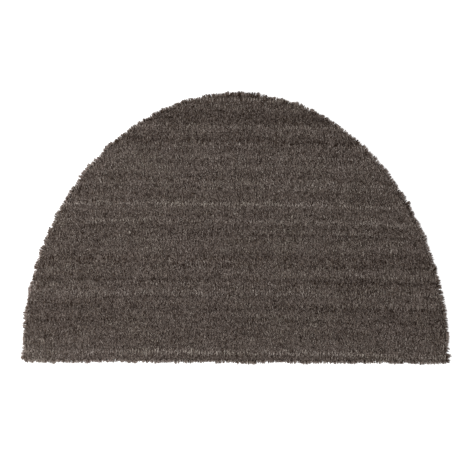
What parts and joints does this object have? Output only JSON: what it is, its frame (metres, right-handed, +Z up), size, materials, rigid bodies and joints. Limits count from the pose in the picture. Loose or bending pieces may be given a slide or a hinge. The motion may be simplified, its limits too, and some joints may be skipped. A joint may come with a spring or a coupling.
{
  "type": "half-round coir doormat",
  "caption": "Flat half-round doormat of dense coir pile on a thin vinyl sheet, with a straight front edge, an arched back edge and a ragged fibre rim, for wiping shoes at a door.",
  "frame": {"origin": "middle of the mat's overall box, on the floor it lies on", "axes": "+X along the straight edge, +Y from the straight edge towards the top of the arc, +Z up out of the pile"},
  "size_m": [0.8008, 0.5078, 0.0169],
  "materials": {
    "coir": "stiff dyed coconut fibre standing on end, dark grey-brown with lighter and darker fibre tips, fully matte",
    "backing": "soft black vinyl sheet fused to the roots of the fibre, finely grained and matte, seen only at the foot of the rim and from below"
  },
  "bodies": {
    "root": {"coir_mat": "coir"}
  },
  "joints": []
}
